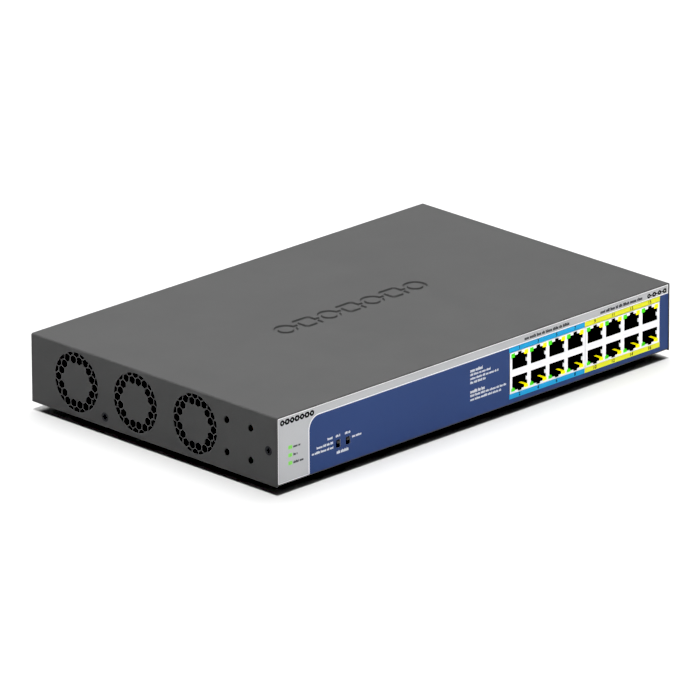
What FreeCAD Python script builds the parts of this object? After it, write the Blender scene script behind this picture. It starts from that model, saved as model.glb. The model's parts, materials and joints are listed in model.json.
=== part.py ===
import FreeCAD, Part
import math
import os

V = FreeCAD.Vector

# Everything is drawn in millimetres from the lower left front corner of the sheet-metal case,
# with X to the right, Y to the rear and Z up. save() moves each piece to the part's own frame,
# whose origin is on the table, under the middle of the case.

# Case
CASE_W = 330.0
CASE_D = 208.0
CASE_H = 43.0
FOOT_H = 5.0
FOOT_R = 6.35
FOOT_INSET = 22.0
COVER_T = 0.8
PAN_T = 1.0
BEND_R = 1.2
FIT_GAP = 0.1
PAN_FRONT_Y = 0.55
PAN_REAR_Y = CASE_D - 2.6
PAN_TOP = CASE_H - COVER_T - FIT_GAP
PAN_LIP_H = 3.0
OVERLAY_T = 0.25
PAN_LEFT = COVER_T + FIT_GAP
PAN_RIGHT = CASE_W - PAN_LEFT

# Cover screws, as (y, z) on each side wall, and the tapped holes for a rack ear
COVER_SCREWS = [(7.05, 21.2), (145.15, 6.25)]
COVER_HEAD_R = 2.85
COVER_SHANK_R = 1.45
RACK_HOLES_Y = (22.05, 42.05)
RACK_HOLES_Z = (11.4, 31.4)
RACK_HOLE_R = 1.9
RACK_ENTRY_R = 2.25
RACK_COLLAR_R = 2.8
RACK_COLLAR_L = 2.0
INTAKE_SLOT = (5.0, 12.0)
INTAKE_PITCH = 10.4
INTAKE_Y0 = 64.0
INTAKE_ROWS = (16.5, 31.5)

# Fans and their grilles
FANS = {"front": 68.5, "middle": 118.9, "rear": 169.3}
FAN_Z = 21.95
FAN_SIZE = 40.0
FAN_DEPTH = 20.0
FAN_X = 4.4
FAN_BORE_R = 18.9
FAN_TIP_R = 18.3
FAN_HOLE_PITCH = 16.0
FAN_BLADES = 7
SHAFT_R = 1.0
CELL_PITCH = 5.15
CELL_ROW_PITCH = 4.53
CELL_ACROSS = 4.25
GRILLE_R = 18.35
GRILLE_HUB_R = 12.0

# Port blocks: two rows of four jacks each
PORT_BLOCKS = {"left": 225.1, "right": 289.4}
PORT_BLOCK_W = 64.0
PORT_BLOCK_D = 30.0
PORT_Z0 = 7.3
PORT_Z1 = 32.95
PORT_PITCH = 15.77
PORT_HALF_W = 6.4
PORT_MID_Z = 19.9
PORT_BAR = 2.2
PORT_MAIN_H = 7.3
PORT_DEPTH = 15.0
LATCH_HALF_W = 3.6
LATCH_H = 1.5
NOTCH_HALF_W = 1.6
NOTCH_H = {"upper": 1.55, "lower": 1.1}
LIGHT_INNER = 4.0
LIGHT_OUTER = 7.2
LIGHT_END_Z = {"upper": 32.25, "lower": 8.35}
LIGHT_GAP = 0.1
LIGHT_TIP_D = 5.4
LIGHT_STEM_DROP = 0.9
LIGHT_END_Y = 22.0

# Which way each row of jacks has its latch, along Z
ROW_SIDE = {"upper": 1, "lower": -1}
SHIELD_T = 0.3
SHIELD_GAP = 0.02
CONTACT_PITCH = 1.02

# Front panel windows
SWITCH_X = {"left": 50.2, "right": 58.15}
SWITCH_Z = 14.1
SWITCH_TRAVEL = 1.7
SWITCH_WINDOW = (3.4, 4.7)
LED_X = 11.1
LED_ROWS = (22.2, 17.3, 12.4)
LED_WINDOW = (3.1, 2.2)

# The row of linked rings and squares pressed into the top. Its grooves' walls lean inward by
# MARK_LEAN for each millimetre of depth.
MARK_X = 110.6
MARK_Y = 105.25
MARK_COUNT = 7
MARK_PITCH = 18.1
MARK_HALF = 7.6
MARK_CORNER_R = 2.4
MARK_STROKE = 3.1
MARK_LEAN = 0.6
MARK_DEPTH = 1.0
MARK_WALL = 0.9

# Circuit boards
BOARD_Z = 5.7
BOARD_T = 1.6
BOARD_TOP = BOARD_Z + BOARD_T
MAIN_SCREWS = [(16.0, 30.0), (84.0, 40.0), (150.0, 62.0), (150.0, 182.0), (234.0, 182.0),
               (316.0, 62.0), (316.0, 182.0), (172.0, 14.0)]
PSU_BOX = (36.0, 134.0, 62.0, 198.0)
PSU_SCREWS = [(41.0, 67.0), (129.0, 67.0), (41.0, 193.0), (129.0, 193.0)]

# Power inlet on the rear wall
INLET_X = 60.0
INLET_Z = 21.0
INLET_FLANGE = (50.0, 23.0, 2.2)
INLET_SCREW_PITCH = 20.0
GROUND_SCREW = (120.0, 9.0)

ORIGIN = V(-CASE_W / 2, -CASE_D / 2, FOOT_H)


def box(x0, x1, y0, y1, z0, z1):
    """A block, given as its ranges along X, Y and Z."""
    return Part.makeBox(x1 - x0, y1 - y0, z1 - z0, V(x0, y0, z0))


def rod(radius, start, end):
    """A round bar from one point to another."""
    line = V(*end) - V(*start)
    return Part.makeCylinder(radius, line.Length, V(*start), line)


def tube(outer, inner, start, end):
    """A round bar with a round hole along it."""
    return rod(outer, start, end).cut(rod(inner, start, end))


def cone(start_radius, end_radius, start, end):
    """A round bar whose radius changes along it."""
    line = V(*end) - V(*start)
    return Part.makeCone(start_radius, end_radius, line.Length, V(*start), line)


def prism(points, push):
    """A flat outline pushed along a vector."""
    corners = [V(*point) for point in points]
    outline = Part.makePolygon(corners + corners[:1])
    return Part.Face(outline).extrude(V(*push))


def fused(shapes):
    """One solid made of shapes that meet."""
    return shapes[0].multiFuse(shapes[1:]).removeSplitter()


def rounded(shape, radius, axis, chosen=lambda centre: True):
    """Rounds the edges of a shape that run along an axis."""
    edges = []
    for edge in shape.Edges:
        along = edge.tangentAt(edge.FirstParameter)
        if abs(along.dot(V(*axis))) > 0.999 and chosen(edge.CenterOfMass):
            edges.append(edge)
    return shape.makeFillet(radius, edges)


def mirrored(shape):
    """The same shape at the other side of the case."""
    return shape.mirror(V(CASE_W / 2, 0, 0), V(1, 0, 0))


def bent_wire(points, radius, bend):
    """A round wire along straight runs joined by tangent arcs."""
    corners = [V(*point) for point in points]
    edges = []
    start = corners[0]
    for before, corner, after in zip(corners, corners[1:], corners[2:]):
        into = (corner - before).normalize()
        out = (after - corner).normalize()
        half_turn = into.getAngle(out) / 2
        setback = bend * math.tan(half_turn)
        inward = (out - into).normalize()
        entry = corner - into * setback
        middle = corner + inward * (bend / math.cos(half_turn) - bend)
        leave = corner + out * setback
        edges.append(Part.LineSegment(start, entry).toShape())
        edges.append(Part.Arc(entry, middle, leave).toShape())
        start = leave
    edges.append(Part.LineSegment(start, corners[-1]).toShape())
    section = Part.Wire(Part.makeCircle(radius, corners[0], corners[1] - corners[0]))
    return Part.Wire(edges).makePipeShell([section], True, False)


def save(node, *shapes):
    """Writes a node's solids to its STEP file, in the part's own frame."""
    solids = [solid for shape in shapes for solid in shape.Solids]
    whole = solids[0] if len(solids) == 1 else Part.makeCompound(solids)
    placed = whole.translated(ORIGIN)
    placed.exportStep(f"parts/{node}.step")
    print(f"{node}: {len(solids)} solids, {placed.Volume:.1f} mm3, valid {placed.isValid()}")


# Case

def hexagon(x0, x1, y, z):
    """One honeycomb cell through a side wall, with a corner at its top."""
    corner = CELL_ACROSS / math.sqrt(3)
    turns = [math.radians(60 * step) for step in range(6)]
    outline = [(x0, y + corner * math.sin(turn), z + corner * math.cos(turn)) for turn in turns]
    return prism(outline, (x1 - x0, 0, 0))


def grille(centre_y):
    """The ring of honeycomb cells in front of one fan."""
    cells = []
    for row in range(-4, 5):
        shift = 0.5 * (row % 2)
        for column in range(-5, 5):
            y = (column + shift) * CELL_PITCH
            z = row * CELL_ROW_PITCH
            if GRILLE_HUB_R < math.hypot(y, z) < GRILLE_R + CELL_ACROSS / 2:
                cells.append(hexagon(-1, COVER_T + 1, centre_y + y, FAN_Z + z))
    disc = rod(GRILLE_R, (-1, centre_y, FAN_Z), (COVER_T + 1, centre_y, FAN_Z))
    return [cell.common(disc) for cell in cells]


def side_screw(y, z, slack):
    """A countersunk screw's outline in the left wall. Slack makes the space that it needs."""
    head_depth = 1.2
    head = cone(COVER_HEAD_R + slack, COVER_SHANK_R + slack, (0, y, z), (head_depth, y, z))
    shank = rod(COVER_SHANK_R + slack, (head_depth - 0.2, y, z), (6.5, y, z))
    return fused([head, shank])


def cross_slots(centre, axis, depth):
    """Two crossed slots for a driver, cut to a depth into a screw head that faces along an axis."""
    facing = FreeCAD.Placement(V(*centre), FreeCAD.Rotation(V(0, 0, 1), V(*axis)))
    slots = []
    for half_x, half_y in ((1.6, 0.35), (0.35, 1.6)):
        slot = box(-half_x, half_x, -half_y, half_y, -depth, 1)
        slots.append(slot.transformed(facing.toMatrix()))
    return slots


def cover_screw(y, z):
    return side_screw(y, z, 0.0).cut(cross_slots((0, y, z), (-1, 0, 0), 0.8))


def intake_slots():
    """Two rows of upright air slots in the right wall."""
    slots = []
    half_w = INTAKE_SLOT[0] / 2
    half_h = INTAKE_SLOT[1] / 2
    for row_z in INTAKE_ROWS:
        for step in range(12):
            y = INTAKE_Y0 + INTAKE_PITCH * step
            slot = box(CASE_W - COVER_T - 1, CASE_W + 1, y - half_w, y + half_w, row_z - half_h, row_z + half_h)
            slots.append(rounded(slot, half_w - 0.05, (1, 0, 0)))
    return slots


def mark_block(x, square, low, high):
    """A disc or rounded square on the mark's line, given as (z, half width) at its two ends."""
    if not square:
        return cone(low[1], high[1], (x, MARK_Y, low[0]), (x, MARK_Y, high[0]))
    outlines = []
    for z, half in (low, high):
        core = half - MARK_CORNER_R
        turns = ((-1, -1), (1, -1), (1, 1), (-1, 1), (-1, -1))
        corners = [V(x + core * turn_x, MARK_Y + core * turn_y, z) for turn_x, turn_y in turns]
        outlines.append(Part.makePolygon(corners).makeOffset2D(MARK_CORNER_R))
    return Part.makeLoft(outlines, True, True)


def top_mark(z0, z1, margin):
    """The mark's rings, squares and links between two heights, larger all round by a margin."""
    grow0 = margin + MARK_LEAN * (z0 - CASE_H)
    grow1 = margin + MARK_LEAN * (z1 - CASE_H)
    hole_half = MARK_HALF - MARK_STROKE
    shapes = []
    for step in range(MARK_COUNT):
        x = MARK_X + step * MARK_PITCH
        square = step % 2 == 1
        outer = mark_block(x, square, (z0, MARK_HALF + grow0), (z1, MARK_HALF + grow1))
        shapes.append(outer.cut(mark_block(x, square, (z0, hole_half - grow0), (z1, hole_half - grow1))))
    overlap = MARK_LEAN * MARK_DEPTH + 0.5
    half0 = MARK_STROKE / 2 + grow0
    half1 = MARK_STROKE / 2 + grow1
    for step in range(MARK_COUNT - 1):
        x = MARK_X + step * MARK_PITCH + MARK_HALF - overlap
        outline = [(x, MARK_Y - half0, z0), (x, MARK_Y + half0, z0), (x, MARK_Y + half1, z1),
                   (x, MARK_Y - half1, z1)]
        shapes.append(prism(outline, (MARK_PITCH - 2 * MARK_HALF + 2 * overlap, 0, 0)))
    return shapes


def top_cover():
    outer = box(0, CASE_W, 0, CASE_D, 0, CASE_H)
    outer = rounded(outer, BEND_R, (0, 1, 0), lambda centre: centre.z > CASE_H - 1)
    inner = box(COVER_T, CASE_W - COVER_T, -1, CASE_D + 1, -1, CASE_H - COVER_T)
    inner = rounded(inner, BEND_R - COVER_T, (0, 1, 0), lambda centre: centre.z > 0)
    collars = []
    holes = []
    for y in RACK_HOLES_Y:
        for z in RACK_HOLES_Z:
            collars.append(rod(RACK_COLLAR_R, (0.2, y, z), (COVER_T + RACK_COLLAR_L, y, z)))
            holes.append(rod(RACK_HOLE_R, (-1, y, z), (COVER_T + RACK_COLLAR_L + 1, y, z)))
            holes.append(cone(RACK_ENTRY_R, RACK_HOLE_R, (0, y, z), (0.5, y, z)))
    for y, z in COVER_SCREWS:
        holes.append(side_screw(y, z, 0.05))
    collars += [mirrored(collar) for collar in collars]
    holes += [mirrored(hole) for hole in holes]
    for centre_y in FANS.values():
        holes += grille(centre_y)
    mark_floor = CASE_H - MARK_DEPTH
    mark_troughs = top_mark(mark_floor - COVER_T, CASE_H - 0.1, MARK_WALL)
    shell = fused([outer.cut(inner)] + collars + mark_troughs)
    return shell.cut(holes + intake_slots() + top_mark(mark_floor, CASE_H + 1, 0.0))


def window(centre_x, centre_z, width, height, corner):
    """A rounded window through the front wall and the overlay."""
    block = box(centre_x - width / 2, centre_x + width / 2, -1, PAN_FRONT_Y + PAN_T + 0.5,
                centre_z - height / 2, centre_z + height / 2)
    return rounded(block, corner, (0, 1, 0))


def front_windows(slack):
    """The openings in the front wall, each larger by the slack all round."""
    width = PORT_BLOCKS["right"] - PORT_BLOCKS["left"] + PORT_BLOCK_W
    centre_x = (PORT_BLOCKS["right"] + PORT_BLOCKS["left"]) / 2
    centre_z = (PORT_Z0 + PORT_Z1) / 2
    tools = [window(centre_x, centre_z, width + 2 * slack + 0.4, PORT_Z1 - PORT_Z0 + 2 * slack + 0.4, 0.3)]
    for x in SWITCH_X.values():
        tools.append(window(x, SWITCH_Z, SWITCH_WINDOW[0] + 2 * slack, SWITCH_WINDOW[1] + 2 * slack, 0.3))
    for z in LED_ROWS:
        tools.append(window(LED_X, z, LED_WINDOW[0] + 0.2 + 2 * slack, LED_WINDOW[1] + 0.2 + 2 * slack, 0.4))
    return tools


def inlet_outline(half_w, half_h, chamfer, y0, y1):
    """The block shape of a power inlet, with its two upper corners cut off."""
    x0 = INLET_X - half_w
    x1 = INLET_X + half_w
    z0 = INLET_Z - half_h
    z1 = INLET_Z + half_h
    outline = [(x0, y0, z0), (x1, y0, z0), (x1, y0, z1 - chamfer), (x1 - chamfer, y0, z1),
               (x0 + chamfer, y0, z1), (x0, y0, z1 - chamfer)]
    return prism(outline, (0, y1 - y0, 0))


def rear_windows():
    """The inlet's opening, its screw holes, the earth screw's hole and the lock slot."""
    y0 = PAN_REAR_Y - PAN_T - 1
    y1 = PAN_REAR_Y + 1
    tools = [inlet_outline(13.9, 10.1, 4.0, y0, y1)]
    for x in (INLET_X - INLET_SCREW_PITCH, INLET_X + INLET_SCREW_PITCH):
        tools.append(rod(1.55, (x, y0, INLET_Z), (x, y1, INLET_Z)))
    tools.append(rod(1.55, (GROUND_SCREW[0], y0, GROUND_SCREW[1]), (GROUND_SCREW[0], y1, GROUND_SCREW[1])))
    tools.append(rounded(box(296, 303, y0, y1, 28, 31), 0.6, (0, 1, 0)))
    return tools


def base_pan():
    left = PAN_LEFT
    outer = box(left, PAN_RIGHT, PAN_FRONT_Y, PAN_REAR_Y, 0, PAN_TOP)
    outer = rounded(outer, BEND_R, (1, 0, 0), lambda centre: centre.z < 1)
    inner = box(left + PAN_T, PAN_RIGHT - PAN_T, PAN_FRONT_Y + PAN_T, PAN_REAR_Y - PAN_T,
                PAN_T, PAN_TOP + 1)
    side_gap = box(left - 1, PAN_RIGHT + 1, PAN_FRONT_Y + PAN_T, PAN_REAR_Y - PAN_T,
                   PAN_LIP_H, PAN_TOP + 1)
    pan = outer.cut([inner, side_gap])
    tabs = []
    for y, z in COVER_SCREWS:
        y0 = max(y - 8, PAN_FRONT_Y + 0.5)
        tabs.append(box(left, left + PAN_T, y0, y + 7, 0.5, z + 6))
    tabs += [mirrored(tab) for tab in tabs]
    screws = [side_screw(y, z, 0.05) for y, z in COVER_SCREWS]
    screws += [mirrored(screw) for screw in screws]
    return fused([pan] + tabs).cut(screws + front_windows(0.15) + rear_windows())


def front_overlay():
    """The thin printed film that covers the front wall."""
    film = box(PAN_LEFT + 0.05, PAN_RIGHT - 0.05, PAN_FRONT_Y - OVERLAY_T, PAN_FRONT_Y,
               BEND_R + 0.1, PAN_TOP - 0.05)
    return film.cut(front_windows(0.0))


def foot(x, y):
    disc = rod(FOOT_R, (x, y, -FOOT_H), (x, y, 0))
    low_edge = [edge for edge in disc.Edges if edge.CenterOfMass.z < -FOOT_H + 0.1]
    return disc.makeFillet(0.7, low_edge[:1])


def rubber_feet():
    spots = []
    for x in (FOOT_INSET, CASE_W - FOOT_INSET):
        for y in (FOOT_INSET, CASE_D - FOOT_INSET):
            spots.append(foot(x, y))
    return spots


def rear_screw(x, z, seat_y, length):
    """A pan-head screw in the rear wall, with a cross slot."""
    head = cone(2.9, 2.4, (x, seat_y, z), (x, seat_y + 1.9, z))
    shank = rod(1.45, (x, seat_y - length, z), (x, seat_y + 0.2, z))
    return fused([head, shank]).cut(cross_slots((x, seat_y + 1.9, z), (0, 1, 0), 0.8))


# Ports

def jack_outline(centre_x, row, y0, y1, latch_half_w):
    """The stepped opening of one jack: the plug's block and the two steps of its latch."""
    side = ROW_SIDE[row]
    shapes = []
    low = PORT_BAR
    for half_w, height in ((PORT_HALF_W, PORT_MAIN_H), (latch_half_w, LATCH_H), (NOTCH_HALF_W, NOTCH_H[row])):
        edges = sorted((PORT_MID_Z + side * low, PORT_MID_Z + side * (low + height)))
        shapes.append(box(centre_x - half_w, centre_x + half_w, y0, y1, edges[0], edges[1]))
        low += height
    return fused(shapes)


def jack_columns(block_x):
    return [block_x + PORT_PITCH * (step - 1.5) for step in range(4)]


def light_box(centre_x, side, row, y0, y1, inset, drop):
    """A light pipe's space beside the latch, on its left or right side, that starts
    a drop beyond the jack's main opening."""
    x_edges = sorted((centre_x + side * (LIGHT_INNER + inset), centre_x + side * (LIGHT_OUTER - inset)))
    away = ROW_SIDE[row]
    z_edges = sorted((PORT_MID_Z + away * (PORT_BAR + PORT_MAIN_H + drop), LIGHT_END_Z[row] - away * inset))
    return box(x_edges[0], x_edges[1], y0, y1, z_edges[0], z_edges[1])


def port_housing(block_x):
    half = PORT_BLOCK_W / 2 - SHIELD_T - SHIELD_GAP
    body = box(block_x - half, block_x + half, SHIELD_T + SHIELD_GAP, PORT_BLOCK_D, PORT_Z0,
               PORT_Z1 - SHIELD_T - SHIELD_GAP)
    tools = []
    for x in jack_columns(block_x):
        for row in ROW_SIDE:
            tools.append(jack_outline(x, row, 0, PORT_DEPTH, LATCH_HALF_W))
            for side in (-1, 1):
                tools.append(light_box(x, side, row, 0, LIGHT_TIP_D + LIGHT_GAP, 0.0, 0.0))
                tools.append(light_box(x, side, row, LIGHT_TIP_D, LIGHT_END_Y + LIGHT_GAP, 0.0,
                                       LIGHT_STEM_DROP))
    return body.cut(tools)


def port_shield(block_x):
    """The folded metal can around a port block, with a seam along its middle and one spring
    tab in each opening."""
    half = PORT_BLOCK_W / 2
    can = box(block_x - half, block_x + half, 0, PORT_BLOCK_D + SHIELD_T + SHIELD_GAP, PORT_Z0, PORT_Z1)
    hollow = box(block_x - half + SHIELD_T, block_x + half - SHIELD_T, SHIELD_T,
                 PORT_BLOCK_D + SHIELD_GAP, PORT_Z0 - 1, PORT_Z1 - SHIELD_T)
    seam = box(block_x - half - 1, block_x + half + 1, -1, 0.1, PORT_MID_Z - 0.15, PORT_MID_Z + 0.15)
    tools = [hollow, seam]
    tabs = []
    for x in jack_columns(block_x):
        for row, away in ROW_SIDE.items():
            tools.append(jack_outline(x, row, -1, SHIELD_T + 0.1, LIGHT_INNER))
            for side in (-1, 1):
                tools.append(light_box(x, side, row, -1, SHIELD_T + 0.1, 0.0, 0.0))
            tabs.append(spring_tab(x, PORT_MID_Z + away * 5.9))
    return fused([can.cut(tools)] + tabs)


def spring_tab(centre_x, z):
    """A bowed tab that folds from the right edge of an opening into the jack."""
    edge = centre_x + PORT_HALF_W
    low = z - 1.2
    outline = [(edge + 0.2, 0.05, low), (edge - 0.1, 0.05, low), (edge - 0.6, 0.7, low),
               (edge - 0.12, 1.7, low), (edge - 0.12, 1.4, low), (edge - 0.35, 0.8, low),
               (edge, SHIELD_T, low), (edge + 0.2, SHIELD_T, low)]
    return prism(outline, (0, 0, 2.4))


def port_contacts(block_x):
    """Eight sprung contacts in each jack, on the side away from the latch."""
    contacts = []
    for centre_x in jack_columns(block_x):
        for side in ROW_SIDE.values():
            root = PORT_MID_Z + side * PORT_BAR
            outline = [(3.2, 0.1), (14.9, 0.1), (14.9, 0.35), (4.2, 0.35), (11.6, 2.3),
                       (11.5, 2.58), (3.0, 0.35)]
            for step in range(8):
                x = centre_x + CONTACT_PITCH * (step - 3.5) - 0.225
                corners = [(x, y, root + side * rise) for y, rise in outline]
                contacts.append(prism(corners, (0.45, 0, 0)))
    return contacts


def port_lights(block_x, side):
    """The light pipes at one corner of every jack in a block."""
    pipes = []
    for x in jack_columns(block_x):
        for row in ROW_SIDE:
            tip = light_box(x, side, row, 0.05, LIGHT_TIP_D, LIGHT_GAP, 0.15)
            stem = light_box(x, side, row, LIGHT_TIP_D - 0.1, LIGHT_END_Y, LIGHT_GAP,
                             LIGHT_STEM_DROP + LIGHT_GAP)
            pipes.append(fused([tip, stem]))
    return pipes


# Mode switches and status lights

def switch_body(centre_x):
    body = box(centre_x - 2.75, centre_x + 2.75, 1.6, 7.6, BOARD_TOP, SWITCH_Z + 3.3)
    slot_half = 0.9 + SWITCH_TRAVEL / 2 + 0.1
    slot = box(centre_x - 0.85, centre_x + 0.85, 1, 2.4, SWITCH_Z - slot_half, SWITCH_Z + slot_half)
    track_half = 1.3 + SWITCH_TRAVEL / 2 + 0.1
    track = box(centre_x - 1.85, centre_x + 1.85, 2.25, 3.75, SWITCH_Z - track_half, SWITCH_Z + track_half)
    return body.cut([slot, track])


def switch_lever(centre_x):
    """The lever in its upper position: a nub in the window and a slider in the track."""
    z = SWITCH_Z + SWITCH_TRAVEL / 2
    nub = box(centre_x - 0.75, centre_x + 0.75, 0.15, 2.5, z - 0.9, z + 0.9)
    nub = rounded(nub, 0.25, (1, 0, 0), lambda centre: centre.y < 1)
    slider = box(centre_x - 1.75, centre_x + 1.75, 2.35, 3.65, z - 1.3, z + 1.3)
    return fused([nub, slider])


def switch_terminals():
    """Three bent legs behind each switch."""
    legs = []
    for centre_x in SWITCH_X.values():
        for offset in (-1.8, 0.0, 1.8):
            x = centre_x + offset - 0.3
            outline = [(x, 7.6, 9.4), (x, 8.3, 9.4), (x, 8.3, BOARD_TOP + 0.3),
                       (x, 9.8, BOARD_TOP + 0.3), (x, 9.8, BOARD_TOP), (x, 8.0, BOARD_TOP),
                       (x, 8.0, 9.1), (x, 7.6, 9.1)]
            legs.append(prism(outline, (0.6, 0, 0)))
    return legs


def status_light_pipe():
    """Three nested clear arms on one carrier, from the board to the front windows."""
    arms = []
    x0 = LED_X - LED_WINDOW[0] / 2
    x1 = LED_X + LED_WINDOW[0] / 2
    half_h = LED_WINDOW[1] / 2
    for z, leg_y in zip(LED_ROWS, (10.0, 7.0, 4.0)):
        outline = [(x0, PAN_FRONT_Y - OVERLAY_T + 0.02, z - half_h), (x0, leg_y, z - half_h),
                   (x0, leg_y, BOARD_TOP + 1), (x0, leg_y + 2, BOARD_TOP + 1),
                   (x0, leg_y + 2, z + half_h - 1), (x0, leg_y + 1, z + half_h),
                   (x0, PAN_FRONT_Y - OVERLAY_T + 0.02, z + half_h)]
        arms.append(prism(outline, (x1 - x0, 0, 0)))
    carrier = box(x1 - 0.1, x1 + 1.2, 2.2, 11.5, BOARD_TOP, LED_ROWS[0] + half_h)
    return fused(arms + [carrier])


def status_leds():
    return [box(LED_X - 1, LED_X + 1, y + 0.3, y + 1.7, BOARD_TOP, BOARD_TOP + 0.8) for y in (10.0, 7.0, 4.0)]


# Fans

def fan_frame(centre_y):
    """The square frame, with its struts, hub plate and bearing tube at the outlet side."""
    half = FAN_SIZE / 2
    x1 = FAN_X + FAN_DEPTH
    block = box(FAN_X, x1, centre_y - half, centre_y + half, FAN_Z - half, FAN_Z + half)
    block = rounded(block, 2.5, (1, 0, 0))
    holes = [rod(FAN_BORE_R, (FAN_X - 1, centre_y, FAN_Z), (x1 + 1, centre_y, FAN_Z))]
    for dy in (-FAN_HOLE_PITCH, FAN_HOLE_PITCH):
        for dz in (-FAN_HOLE_PITCH, FAN_HOLE_PITCH):
            holes.append(rod(1.95, (FAN_X - 1, centre_y + dy, FAN_Z + dz),
                             (x1 + 1, centre_y + dy, FAN_Z + dz)))
    ring = block.cut(holes)
    hub = rod(10.5, (FAN_X, centre_y, FAN_Z), (FAN_X + 1.6, centre_y, FAN_Z))
    pieces = [ring, hub]
    for step in range(4):
        strut = box(FAN_X, FAN_X + 1.6, centre_y - 0.9, centre_y + 0.9, FAN_Z + 9, FAN_Z + FAN_BORE_R + 0.4)
        strut.rotate(V(0, centre_y, FAN_Z), V(1, 0, 0), 45 + 90 * step)
        pieces.append(strut)
    pieces.append(rod(3.3, (FAN_X + 1.5, centre_y, FAN_Z), (FAN_X + 12, centre_y, FAN_Z)))
    bore = rod(2.5, (FAN_X + 1.0, centre_y, FAN_Z), (FAN_X + 13, centre_y, FAN_Z))
    return fused(pieces).cut(bore)


def fan_bearings():
    """Two plain bearings in each fan's tube."""
    rings = []
    for y in FANS.values():
        for start in (FAN_X + 2.2, FAN_X + 8.6):
            rings.append(tube(2.48, SHAFT_R + 0.03, (start, y, FAN_Z), (start + 3, y, FAN_Z)))
    return rings


def fan_shaft(centre_y):
    return rod(SHAFT_R, (FAN_X + 1.3, centre_y, FAN_Z), (FAN_X + 16, centre_y, FAN_Z))


def blade(centre_y, turn):
    """One curved, pitched blade, from the hub to the tip circle."""
    x0 = FAN_X + 3.6
    x1 = FAN_X + 17.6
    thickness = 1.0
    front = [V(x0, 9.6, -4.2), V((x0 + x1) / 2, 9.6, 1.2), V(x1, 9.6, 3.6)]
    back = [point + V(0, 0, thickness) for point in front]
    outline = Part.Wire([Part.Arc(*front).toShape(),
                         Part.LineSegment(front[2], back[2]).toShape(),
                         Part.Arc(*reversed(back)).toShape(),
                         Part.LineSegment(back[0], front[0]).toShape()])
    plate = Part.Face(outline).extrude(V(0, FAN_TIP_R - 9.6 + 1, 0))
    swept = plate.common(rod(FAN_TIP_R, (FAN_X, 0, 0), (FAN_X + FAN_DEPTH, 0, 0)))
    swept.rotate(V(0, 0, 0), V(1, 0, 0), turn)
    return swept.translated(V(0, centre_y, FAN_Z))


def fan_impeller(centre_y):
    """The cup that turns over the motor, with its blades and the boss that grips the shaft."""
    x_open = FAN_X + 2.4
    x_closed = FAN_X + 17.5
    cup = tube(10.4, 9.45, (x_open, centre_y, FAN_Z), (x_closed, centre_y, FAN_Z))
    cap = rod(10.4, (x_closed - 1.2, centre_y, FAN_Z), (x_closed, centre_y, FAN_Z))
    boss = rod(2.4, (FAN_X + 12.4, centre_y, FAN_Z), (x_closed - 1, centre_y, FAN_Z))
    blades = [blade(centre_y, 360 / FAN_BLADES * step) for step in range(FAN_BLADES)]
    bore = rod(SHAFT_R + 0.01, (FAN_X + 12, centre_y, FAN_Z), (FAN_X + 16.2, centre_y, FAN_Z))
    return fused([cup, cap, boss] + blades).cut(bore)


def fan_magnet(centre_y):
    return tube(9.43, 8.5, (FAN_X + 2.8, centre_y, FAN_Z), (FAN_X + 12.5, centre_y, FAN_Z))


def fan_stator(centre_y):
    """The four-pole iron core and its coils."""
    x0 = FAN_X + 3.5
    x1 = FAN_X + 10.5
    core = [tube(5.0, 3.35, (x0, centre_y, FAN_Z), (x1, centre_y, FAN_Z))]
    coils = []
    for step in range(4):
        arm = box(x0, x1, centre_y - 0.9, centre_y + 0.9, FAN_Z + 4.6, FAN_Z + 7.6)
        shoe = tube(8.1, 7.3, (x0, centre_y, FAN_Z), (x1, centre_y, FAN_Z))
        shoe = shoe.common(box(x0, x1, centre_y - 4.2, centre_y + 4.2, FAN_Z + 5, FAN_Z + 9))
        coil = box(x0 - 0.7, x1 + 0.7, centre_y - 2.0, centre_y + 2.0, FAN_Z + 5.15, FAN_Z + 6.6)
        coil = coil.cut(box(x0 - 0.02, x1 + 0.02, centre_y - 0.92, centre_y + 0.92, FAN_Z, FAN_Z + 9))
        for piece in (arm, shoe, coil):
            piece.rotate(V(0, centre_y, FAN_Z), V(1, 0, 0), 90 * step)
        core += [arm, shoe]
        coils.append(coil)
    return [fused(core)] + coils


def fan_bracket():
    """The folded plate behind the fans, with a round opening and lead notch for each."""
    x0 = FAN_X + FAN_DEPTH
    y0 = FANS["front"] - 21.5
    y1 = FANS["rear"] + 26
    plate = box(x0, x0 + 1, y0, y1, PAN_T, 41)
    flange = box(x0, x0 + 8.5, y0, y1, PAN_T, PAN_T + 1)
    tools = []
    for y in FANS.values():
        tools.append(rod(FAN_BORE_R - 0.2, (x0 - 1, y, FAN_Z), (x0 + 2, y, FAN_Z)))
        tools.append(box(x0 - 1, x0 + 1.5, y + 21, y + 25, PAN_T + 1, 6.5))
        for dy in (-FAN_HOLE_PITCH, FAN_HOLE_PITCH):
            for dz in (-FAN_HOLE_PITCH, FAN_HOLE_PITCH):
                tools.append(rod(2.1, (x0 - 1, y + dy, FAN_Z + dz), (x0 + 2, y + dy, FAN_Z + dz)))
    return fused([plate, flange]).cut(tools)


def fan_screws():
    """Four screws through the bracket into each fan."""
    screws = []
    seat = FAN_X + FAN_DEPTH + 1
    for y in FANS.values():
        for dy in (-FAN_HOLE_PITCH, FAN_HOLE_PITCH):
            for dz in (-FAN_HOLE_PITCH, FAN_HOLE_PITCH):
                head = rod(3.0, (seat, y + dy, FAN_Z + dz), (seat + 1.5, y + dy, FAN_Z + dz))
                shank = rod(1.9, (seat - 8, y + dy, FAN_Z + dz), (seat + 0.5, y + dy, FAN_Z + dz))
                screws.append(fused([head, shank]))
    return screws


def header_x(step):
    return 33.0 + 9.0 * step


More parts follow.
